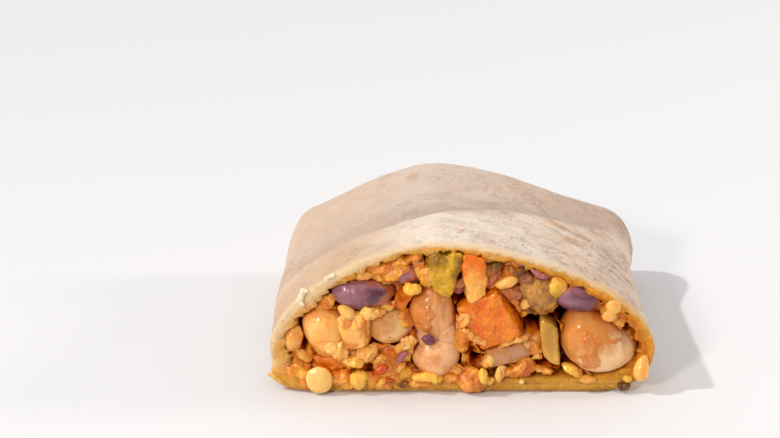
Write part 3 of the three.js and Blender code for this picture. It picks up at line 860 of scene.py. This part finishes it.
def dress(node, material, slot, wave, wave_size=5.0, grit=0.08, grit_size=1.2, smoothing=30,
          cover=0.1, smears=(), dark_end=(0, 0), granules=0.0):
    """Turns one faceted solid into a smooth, slightly uneven piece with sauce on it. The dark end
    is the way to it, right and up."""
    low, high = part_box(node)
    middle, size = (low + high) / 2, (high - low) / 2
    ends = (middle, (dark_end[0] / size.x, 0, dark_end[1] / size.z))
    piece = node_copy(node, node + "_real")
    resurface(piece, node, 0.26, smoothing, 0.15, wave, wave_size, grit, grit_size, cover, 0.4,
              granules, smears, ends)
    finish(piece, material, slot, node)


class BURRITO_OT_beans(bpy.types.Operator):
    """Makes the whole and cut beans"""

    bl_idname = "burrito.beans"
    bl_label = "Beans"

    def execute(self, context):
        food = context.scene.burrito_food
        pinto = food_material("Pinto bean skin", food.pinto, food.pinto_deep, pores=0.3,
                              pore_size=0.9, lean=0.12, stretch=(1.6, 1, 0.4), coat=0.5)
        tan = food_material("Tan bean skin", shade(250, 206, 152), shade(214, 138, 62), opaque=0.7,
                            gloss=0.24, pores=0.06, lean=0.32, stretch=(0.45, 1, 0.45), coat=0.3)
        pink = food_material("Pinkish bean skin", shade(244, 190, 138), shade(222, 150, 90),
                             opaque=0.4, gloss=0.4, pores=0.1, lean=0.1, coat=0.1)
        brown = food_material("Brown bean skin", shade(244, 198, 134), shade(206, 136, 70),
                              opaque=0.4, gloss=0.24, pores=0.08, lean=0.2, stretch=(0.5, 1, 0.5))
        pale = food_material("White bean skin", food.white_bean, shade(244, 160, 66), pores=0.12,
                             coat=0.45)
        purple = dict(opaque=0.75, gloss=0.36, pores=0.4, pore_size=1.2, depth=0.1,
                      stretch=(0.5, 1, 1.4), coat=0.35)
        dark = food_material("Dark bean skin", food.dark_bean, food.dark_bean_deep, lean=0.16,
                             glint=0.8, **purple)
        # The left bean's lighter left end is partly its real pinkish end and partly a painted
        # highlight.
        pale_end_sheen = food_material("Dark bean skin, pale sheen end", shade(146, 88, 100), shade(92, 38, 56),
                             lean=0.3, glint=0.65, **purple)
        smooth = dict(slot="pinto_bean", wave=0.35, wave_size=6, grit=0.04)
        dress("pinto_bean_right", tan, dark_end=(-0.8, 0.8), **smooth,
              smears=((27.4, 11.4, 3.6, 6.4), (29.0, 7.6, 4.4, 3.6), (32.0, 12.4, 5.0, 1.0)))
        dress("pinto_bean_upper", pinto, cover=0.12, smears=((-8.0, 17.6, 4.2, 6.0),),
              dark_end=(-0.7, 0.7), **smooth)
        dress("pinto_bean_lower", pink, cover=0.05, dark_end=(-0.6, 0.4), **smooth)
        dress_bits("bean_folds", FOLDS, pink, 0.4, 4.0, 0.04, cover=-0.3, thick=0.1, odd=0.1)
        for node, skin in (("black_bean_left", pale_end_sheen), ("black_bean_right", dark),
                           ("black_bean_top", dark)):
            dress(node, skin, "dark_bean", wave=0.4, wave_size=3.4, grit=0.16, grit_size=1.5,
                  cover=-0.1, dark_end=(0.8, -0.3))
        dress("white_bean_left", pale, "white_bean", wave=0.8, wave_size=6, grit=0.06)
        dress("brown_bean", brown, "brown_bean", wave=0.4, grit=0.06, dark_end=(-0.6, 0.6))
        return {"FINISHED"}


class BURRITO_OT_vegetables(bpy.types.Operator):
    """Makes the diced vegetables, strips and lumps"""

    bl_idname = "burrito.vegetables"
    bl_label = "Vegetables"

    def execute(self, context):
        food = context.scene.burrito_food
        cube = food_material("Sweet potato", food.sweet_potato, food.sweet_potato_deep, opaque=0.4,
                             pores=0.45, pore_size=0.9)
        potato = food_material("Potato", food.potato, food.mash_pale_and_crest_light, pores=0.4, glint=0.5,
                               opaque=0.75, coat=0.3)
        carrot = food_material("Carrot", food.carrot_lit_side, food.carrot, lean=0.3, pores=0.4,
                               gloss=0.3, coat=0.3)
        pepper = food_material("Green pepper", food.green_pepper, food.green_pepper_deep,
                               gloss=0.26, lean=0.1, stretch=(1, 1, 0.6), coat=0.2)
        onion = food_material("Onion", food.onion, shade(204, 140, 76), opaque=0.5, gloss=0.18,
                              stretch=(0.4, 1, 1), coat=0.5)
        strip = food_material("Pepper strip", food.strip, shade(198, 144, 52), gloss=0.16,
                              lean=0.14, stretch=(1.5, 1, 0.4), coat=0.3)
        lump = food_material("Mixed mash", shade(146, 92, 36), shade(200, 142, 60), opaque=0.5,
                             pores=0.5)
        dress("sweet_potato_cube", cube, "sweet_potato", wave=0.5, wave_size=4, grit=0.3,
              grit_size=1.0, smoothing=9, cover=0.42)
        dress("potato_chunk", potato, "potato", wave=0.8, wave_size=3.5, grit=0.2, smoothing=18,
              cover=0.3)
        # Painted shade and light: the carrot is darker at the top and paler on its lower side.
        dress("carrot_piece", carrot, "carrot", wave=0.9, wave_size=3, grit=0.16, smoothing=8,
              cover=0.2, dark_end=(0.2, 0.9))
        dress("green_pepper", pepper, "green_pepper", wave=1.2, wave_size=2.8, grit=0.2,
              smoothing=12, cover=0.15, dark_end=(-0.3, 0.9))
        dress("onion_piece", onion, "onion", wave=0.5, wave_size=3, smoothing=8, cover=0.3)
        dress("pepper_strip", strip, "pepper_strip", wave=0.6, wave_size=3, grit=0.14, smoothing=12,
              cover=0.05, dark_end=(0.2, 0.9))
        dress("mash_lump", lump, "mixed_mash", wave=1.2, wave_size=3, grit=0.5, smoothing=8,
              cover=0.2, granules=0.15)
        return {"FINISHED"}


# ------------------------------------------------------------------ small bits
# Each bit: x and z of its middle, how far its nearest point lies behind the cut, its length and
# height, and how far its right end is turned up, in millimetres and degrees.
GRAINS = ((-37.2, 12.3, -0.2, 6.6, 4.3, 76), (-34.8, 8.2, 0.2, 4.2, 2.2, -35),
          (-21.4, 27.3, 0.2, 4.8, 2.4, 6), (9.6, 26.0, -1.0, 5.4, 2.7, 18),
          (8.3, 4.4, -1.4, 3.6, 1.8, 88), (39.9, 6.0, -2.4, 6.4, 3.4, 83),
          (33.2, 20.4, -0.8, 3.7, 3.1, -24), (32.4, 17.9, -0.4, 3.6, 2.7, -10),
          (-25.2, 19.3, -1.7, 4.6, 2.6, -34), (-13.6, 5.6, -0.6, 4.0, 2.0, 60),
          (28.0, 2.9, -1.0, 4.2, 1.8, -8), (14.2, 21.0, 0.0, 3.8, 2.2, 60))
DISCS = ((-31.4, 3.5, -2.6, 6.0, 6.4, 20), (13.4, 2.9, -1.3, 1.4, 1.2, 0))
KERNELS = ((-22.7, 3.3, -2.2, 4.6, 4.2, 20),
           (-10.8, 24.7, -1.5, 3.7, 3.0, 10), (-24.0, 7.6, -2.0, 5.6, 2.7, -4),
           (-7.4, 3.8, -2.2, 6.8, 2.4, -6), (4.9, 4.6, -2.7, 3.6, 1.9, -76),
           (36.8, 3.6, -1.4, 2.3, 1.6, 0), (6.4, 3.0, -1.4, 1.9, 1.5, 10),
           (24.6, 5.4, -1.2, 6.4, 1.8, -34), (-17.8, 2.7, -1.4, 2.6, 1.8, 30))
MUSTARDS = ((20.6, 25.0, -0.9, 5.0, 4.6, 62), (-7.6, 27.4, -0.8, 5.0, 4.2, 80),
            (-12.4, 4.2, -0.8, 4.0, 2.6, 20))
NUGGETS = ((-19.8, 19.3, -1.7, 5.8, 2.8, 6), (9.0, 5.0, -1.0, 3.0, 2.0, 70),
           (6.0, 7.3, -0.5, 4.0, 2.4, 25), (4.0, 12.4, -0.9, 5.6, 2.4, -26),
           (11.4, 12.5, -1.0, 7.8, 1.9, 23), (-27.6, 10.2, -1.9, 5.4, 3.6, -30),
           (-20.6, 9.4, -1.2, 4.6, 3.8, 10), (-1.0, 5.0, -0.6, 3.2, 3.0, 0),
           (-11.8, 11.6, -0.8, 3.8, 3.2, 30), (0.6, 30.4, -0.4, 3.0, 2.4, 0),
           (0.4, 17.2, -1.0, 3.4, 2.2, 70), (1.6, 14.4, -1.3, 3.2, 1.8, -40))
MUSH = ((2.6, 3.1, -2.6, 6.0, 6.0, 0), (-14.4, 28.0, 0.2, 7.0, 3.4, 22),
        (-35.6, 5.4, 0.4, 6.0, 4.0, -32), (-30.2, 20.6, 0.3, 5.6, 2.8, 42),
        (-16.2, 5.6, -0.8, 6.4, 4.4, 20), (13.9, 5.6, -0.8, 5.4, 4.0, 36),
        (0.2, 12.4, -0.4, 7.2, 4.0, 82), (16.4, 11.2, 0.2, 5.6, 3.2, 84),
        (-26.6, 3.4, -1.6, 5.6, 3.4, 10), (-12.8, 16.6, 0.6, 5.0, 5.0, 0),
        (-20.0, 3.2, -1.4, 5.0, 3.0, -12), (-14.6, 3.4, -1.0, 5.4, 3.0, 10),
        (-34.4, 3.6, -0.6, 4.6, 2.6, -30), (-1.6, 3.4, -1.2, 4.4, 2.4, -14),
        (11.4, 4.6, -0.9, 5.0, 2.4, 14), (18.6, 5.0, -0.4, 4.6, 2.0, -14),
        (17.8, 20.8, 0.2, 5.0, 2.8, -20), (36.6, 10.8, 2.4, 6.0, 4.0, 80),
        (-17.6, 28.8, 0.0, 6.8, 2.6, 24), (-13.2, 30.6, 0.0, 5.4, 2.2, 14),
        (-10.8, 31.6, -0.2, 3.0, 1.5, 12), (34.6, 16.6, 0.8, 3.6, 2.4, -50),
        (-37.4, 4.4, -0.5, 5.6, 2.8, -38), (-24.4, 1.9, -1.0, 6.4, 2.4, 4),
        (-17.6, 1.7, -0.8, 6.0, 2.2, -4), (-9.0, 2.0, -0.7, 5.0, 2.0, 6),
        (-34.0, 1.9, -0.8, 4.4, 2.2, -16))
PURPLES = ((-7.2, 12.9, -1.1, 2.7, 2.4, 20), (-0.4, 24.0, 1.2, 2.8, 2.2, 0))
PINKS = ((10.8, 23.4, 0.3, 5.6, 3.6, -20), (-0.4, 25.7, 0.0, 3.0, 2.2, 30),
         (6.4, 26.8, 0.5, 5.6, 3.6, 66), (13.4, 27.0, 0.6, 5.6, 3.4, -50))
FOLDS = ((-3.2, 12.8, 0.2, 5.0, 7.4, 0), (-7.2, 12.6, 0.5, 5.6, 6.2, 0))
LIPS = ((-40.0, 2.2, 0.8, 6.6, 2.0, -32), (-37.6, 1.0, 1.1, 6.4, 1.6, -10))
LILACS = ((-13.3, 8.6, -1.2, 3.8, 1.5, 46), (16.3, 28.0, -0.2, 6.4, 1.5, -31),
          (12.4, 30.2, 0.4, 3.4, 1.3, -20))
REDS = ((-17.7, 5.8, -1.9, 3.0, 2.2, 30), (7.4, 31.2, 0.6, 7.0, 1.5, -10),
        (-15.6, 31.0, 0.6, 3.4, 1.6, 20), (-16.0, 3.2, -1.6, 2.0, 1.4, 0))
HERBS = ((6.2, 28.9, -0.3, 6.4, 2.6, 34), (11.2, 28.9, -0.2, 4.6, 2.0, -14),
         (36.2, 1.6, -1.6, 3.0, 1.7, 0), (14.4, 19.2, 0.8, 5.0, 1.5, -28),
         (-13.0, 2.0, -0.6, 3.4, 1.4, 4))
CURLS = ((-35.2, 22.8, -0.8, 3.6, 1.3, 62), (-34.4, 24.2, -0.9, 2.2, 1.2, 10),
         (-35.0, 21.5, -0.7, 1.8, 1.0, -30), (-28.8, 27.7, -0.7, 2.6, 0.8, 26),
         (-29.5, 27.2, -0.6, 1.4, 0.8, 80))


def scatter_bits(name, bits, plump, odd):
    """Tapered and curled bits at their places on the cut, as one object."""
    luck = random.Random(name)
    pieces = []
    for x, z, front, long, high, tilt in bits:
        deep = plump * (long + high) / 2
        deselect()
        bpy.ops.mesh.primitive_ico_sphere_add(
            subdivisions=3, radius=0.5, scale=(long * MM, high * MM, deep * MM),
            location=(ZERO_X + x * MM, CUT + (front + deep / 2) * MM, z * MM),
            rotation=(math.pi / 2, -math.radians(tilt), 0))
        pieces.append(bpy.context.object)
        modify(pieces[-1], "SIMPLE_DEFORM", deform_method="TAPER", deform_axis="X",
               factor=luck.uniform(-1.2, 1.2) * odd)
        modify(pieces[-1], "SIMPLE_DEFORM", deform_method="BEND", deform_axis="Z",
               angle=luck.uniform(-1.8, 1.8) * odd)
        bpy.ops.object.transform_apply(location=True, rotation=True, scale=True)
    return join_up(pieces, name)


def dress_bits(name, bits, material, wave, wave_size, grit, grit_size=0.8, plump=0.8, voxel=0.2,
               cover=0.0, thick=0.25, odd=0.5, granules=0.0):
    """Lays one kind of bit on the cut, with sauce on it, as one piece."""
    piece = scatter_bits(name, bits, plump, odd)
    resurface(piece, name, voxel, 4, 0.05, wave, wave_size, grit, grit_size, cover, thick,
              granules)
    finish(piece, material, "mash", "filling")


class BURRITO_OT_bits(bpy.types.Operator):
    """Lays the grains, kernels, nuggets and shreds between the larger pieces"""

    bl_idname = "burrito.bits"
    bl_label = "Small Bits"

    def execute(self, context):
        food = context.scene.burrito_food
        rice = food_material("Rice", food.rice, shade(240, 172, 72), pores=0.1)
        kernel = food_material("Kernel", food.kernel, food.mash_pale_and_crest_light, opaque=0.7, gloss=0.24,
                               pores=0.2, coat=0.3)
        mustard = food_material("Yellow pepper", food.mustard, food.green_pepper, opaque=0.7,
                                pores=0.3)
        nugget = food_material("Nugget", shade(255, 196, 108), shade(230, 146, 56), opaque=0.5,
                               pores=0.5, pore_size=1.0, coat=0.3)
        mush = food_material("Mush", shade(250, 174, 64), shade(200, 98, 8), opaque=0.35, depth=0.5,
                             pores=0.6, pore_size=1.2, gloss=0.16, glint=0.36)
        pinkish = food_material("Cooked onion bit", shade(196, 122, 76), shade(140, 66, 32),
                                opaque=0.4, gloss=0.16)
        cream = food_material("Cream disc", shade(255, 208, 128), shade(250, 190, 92), opaque=0.5,
                              pores=0.1)
        lip = food_material("Soaked lip", shade(234, 178, 88), shade(204, 144, 58), opaque=0.2,
                            gloss=0.3, pores=0.3, coat=0.2)
        purple = food_material("Purple bit", shade(124, 66, 86), food.dark_bean_deep, depth=0.2,
                               coat=0.3)
        lilac = food_material("Lilac shred", food.lilac, food.dark_bean, depth=0.2, coat=0.3)
        red = food_material("Red bit", food.red, food.mash_deep_shade, opaque=0.7, coat=0.3)
        herb = food_material("Herb bit", food.olive, shade(98, 62, 28), opaque=0.7, gloss=0.3,
                             pores=0.6, coat=0.3)
        curl = food_material("Skin curl", shade(248, 226, 200), shade(232, 196, 152), opaque=0.5,
                             gloss=0.5, coat=0)
        dress_bits("rice_grains", GRAINS, rice, 0.4, 2.5, 0.06, cover=-0.25, odd=0.35)
        dress_bits("cream_discs", DISCS, cream, 0.3, 3.0, 0.08, plump=0.4, cover=-0.1, odd=0.1)
        dress_bits("yellow_kernels", KERNELS, kernel, 1.0, 2.2, 0.2)
        dress_bits("mustard_bits", MUSTARDS, mustard, 1.0, 2.4, 0.2)
        dress_bits("pale_nuggets", NUGGETS, nugget, 1.2, 1.9, 0.25, cover=0.05, granules=0.2)
        dress_bits("orange_mush", MUSH, mush, 1.2, 2.2, 0.2, grit_size=1.2, cover=0.3, thick=0.2,
                   granules=0.12)
        dress_bits("onion_bits", PINKS, pinkish, 0.8, 2.0, 0.16, plump=0.6)
        dress_bits("soaked_lips", LIPS, lip, 0.6, 2.4, 0.16, plump=0.45, cover=-0.2, odd=0.3)
        dress_bits("purple_bits", PURPLES, purple, 0.7, 1.8, 0.12, plump=0.6)
        dress_bits("lilac_shreds", LILACS, lilac, 0.7, 1.8, 0.12, cover=0.15)
        dress_bits("red_bits", REDS, red, 0.8, 1.6, 0.2, cover=0.3)
        dress_bits("herb_bits", HERBS, herb, 1.2, 1.8, 0.4, cover=0.3)
        dress_bits("skin_curls", CURLS, curl, 0.5, 1.0, 0.1, voxel=0.15, plump=0.7, odd=0.8)
        return {"FINISHED"}


# ------------------------------------------------------------------ crumbs
TO_SQUARE_METRES = 10000.0  # from a count for each square centimetre


def crumb_tree(crumb):
    """Strews a crumb over the faces that look out of the cut, thickest in drifts."""
    food = bpy.context.scene.burrito_food

    def build(geometry, position, normal):
        tree = geometry.tree
        facing = remap(separate(normal)[1], -0.1, -0.6)
        front = remap(separate(position)[1] - CUT, 0.007, 0.003)
        drifts = remap(noise(position, 4.2, 2, 0.5), 0.48, 0.66, 0.06, 1.0)
        density = facing * front * (drifts * (food.crumbs * TO_SQUARE_METRES))
        points = made(tree, "GeometryNodeDistributePointsOnFaces",
                      {"Mesh": geometry, "Density": density, "Seed": 5})
        size = made(tree, "FunctionNodeRandomValue", {2: 0.35, 3: 1.0, 8: 2}, 1)
        turn = made(tree, "FunctionNodeRandomValue", {0: (0, 0, 0), 1: (6.3, 6.3, 6.3), 8: 4},
                    data_type="FLOAT_VECTOR")
        tint = made(tree, "FunctionNodeRandomValue", {2: 0.0, 3: 1.0, 8: 7}, 1)
        shape = made(tree, "GeometryNodeObjectInfo", {0: crumb}, "Geometry")
        strewn = made(tree, "GeometryNodeInstanceOnPoints",
                      {"Points": points, "Instance": shape, "Rotation": turn, "Scale": size})
        strewn = keep(strewn, "tint", tint, "INSTANCE")
        return above_table(made(tree, "GeometryNodeRealizeInstances", {0: strewn}))

    return relief_tree("Crumbs", build)


def crumb_material():
    food = bpy.context.scene.burrito_food
    material, shader, place, tint = new_material("Crumb", "tint")
    base = blend(remap(tint, 0.2, 0.7), food.sauce, food.mash)
    base = blend(remap(tint, 0.7, 0.95), base, food.mash_pale_and_crest_light)
    feed(shader, {"Base Color": with_painted_shade(place, base, FOOD_PAINTED_SHADE), "Roughness": 0.3})
    moist(shader, 0.3, (1.0, 0.5, 0.25), 0.4)
    return material


class BURRITO_OT_crumbs(bpy.types.Operator):
    """Strews loose crumbs over the filling"""

    bl_idname = "burrito.crumbs"
    bl_label = "Crumbs"

    def execute(self, context):
        food = context.scene.burrito_food
        deselect()
        bpy.ops.mesh.primitive_ico_sphere_add(subdivisions=1, radius=food.crumb / 2,
                                              scale=(1.25, 0.9, 0.8))
        bpy.ops.object.transform_apply(location=True, rotation=True, scale=True)
        crumb = context.object
        crumb.name = "crumb"
        deselect()
        for name in ("mash", "orange_mush", "pale_nuggets", "mash_lump_real", "herb_bits",
                     "sweet_potato_cube_real", "brown_bean_real", "potato_chunk_real"):
            bpy.data.objects[name].select_set(True)
        bpy.ops.object.duplicate()
        piece = join_up(context.selected_objects, "loose_crumbs")
        for key in [k for k in piece.keys() if k.startswith("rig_")]:
            del piece[key]
        modify(piece, "NODES", node_group=crumb_tree(crumb))
        bpy.data.objects.remove(crumb)
        finish(piece, crumb_material(), "mash", "filling")
        return {"FINISHED"}


# ------------------------------------------------------------------ stage
CAMERA = (ZERO_X - 15.8 * MM, CUT - 390.9 * MM, 183.2 * MM)
SUN_WAY = Vector((0.98, 0.12, -0.98))
FILLS = (((-0.44, -0.68, 0.42), 1.0), ((0.8, 0.06, 0.32), 0.65))  # place and share of the power


class BURRITO_OT_stage(bpy.types.Operator):
    """Sets up the pale table, the soft light and the camera"""

    bl_idname = "burrito.stage"
    bl_label = "Stage"

    def execute(self, context):
        look = context.scene.burrito_stage
        deselect()
        bpy.ops.mesh.primitive_plane_add(size=8, location=(0, 0, -0.02 * MM))
        floor = context.object
        floor.name = "floor"
        material, shader, _ = new_material("Table")
        feed(shader, {"Base Color": look.floor, "Roughness": 0.9, "Specular IOR Level": 0.2})
        floor.data.materials.append(material)

        world = bpy.data.worlds.new("Studio")
        world.use_nodes = True
        tree = world.node_tree
        way = separate(made(tree, "ShaderNodeTexCoord", output="Generated"))
        back = remap(way[1] + way[2] * 0.7, -0.8, 0.6, 0.26, 1.0)
        sky = blend(back, (0.0, 0.0, 0.0), (1.0, 0.968, 0.978))
        feed(tree.nodes["Background"], {"Color": sky, "Strength": look.sky})
        context.scene.world = world

        deselect()
        bpy.ops.object.light_add(type="SUN", location=(-1, -0.2, 1))
        sun = context.object
        sun.data.energy = look.sun
        sun.data.angle = math.radians(2.2)
        sun.data.color = (0.98, 1.0, 0.99)
        sun.rotation_euler = SUN_WAY.to_track_quat("-Z", "Y").to_euler()

        for place, share in FILLS:
            deselect()
            bpy.ops.object.light_add(type="AREA", location=place)
            fill = context.object
            fill.data.shape = "DISK"
            fill.data.size = 0.14
            fill.data.energy = look.fill * share
            fill.data.color = (1.0, 0.95, 0.88)
            aim = Vector((0, 0, 0.01)) - fill.location
            fill.rotation_euler = aim.to_track_quat("-Z", "Y").to_euler()

        deselect()
        bpy.ops.object.camera_add(location=CAMERA, rotation=(math.pi / 2 - look.tilt, 0, 0))
        camera = context.object
        camera.data.lens = look.lens
        camera.data.clip_start = 0.01
        context.scene.camera = camera
        context.scene.view_settings.view_transform = "Standard"
        return {"FINISHED"}


# ------------------------------------------------------------------ add-on
class BURRITO_PT_panel(bpy.types.Panel):
    """Lists the steps that build the burrito half"""

    bl_idname = "BURRITO_PT_panel"
    bl_label = "Burrito Half"
    bl_space_type = "VIEW_3D"
    bl_region_type = "UI"
    bl_category = "Burrito"

    def draw(self, context):
        for step in STEPS:
            self.layout.operator(step.bl_idname)
        for group in (context.scene.burrito_shell, context.scene.burrito_food,
                      context.scene.burrito_stage):
            box = self.layout.box()
            for key in group.bl_rna.properties.keys():
                if key not in ("rna_type", "name"):
                    box.prop(group, key)


STEPS = (BURRITO_OT_tortilla, BURRITO_OT_mash, BURRITO_OT_beans, BURRITO_OT_vegetables,
         BURRITO_OT_bits, BURRITO_OT_crumbs, BURRITO_OT_stage)
CLASSES = (BurritoShell, BurritoFood, BurritoStage, *STEPS, BURRITO_PT_panel)


def register():
    for cls in CLASSES:
        bpy.utils.register_class(cls)
    bpy.types.Scene.burrito_shell = PointerProperty(type=BurritoShell)
    bpy.types.Scene.burrito_food = PointerProperty(type=BurritoFood)
    bpy.types.Scene.burrito_stage = PointerProperty(type=BurritoStage)


def unregister():
    del bpy.types.Scene.burrito_stage
    del bpy.types.Scene.burrito_food
    del bpy.types.Scene.burrito_shell
    for cls in reversed(CLASSES):
        bpy.utils.unregister_class(cls)


def main():
    register()
    for step in STEPS:
        group, name = step.bl_idname.split(".")
        getattr(getattr(bpy.ops, group), name)()


if __name__ == "__main__":
    main()
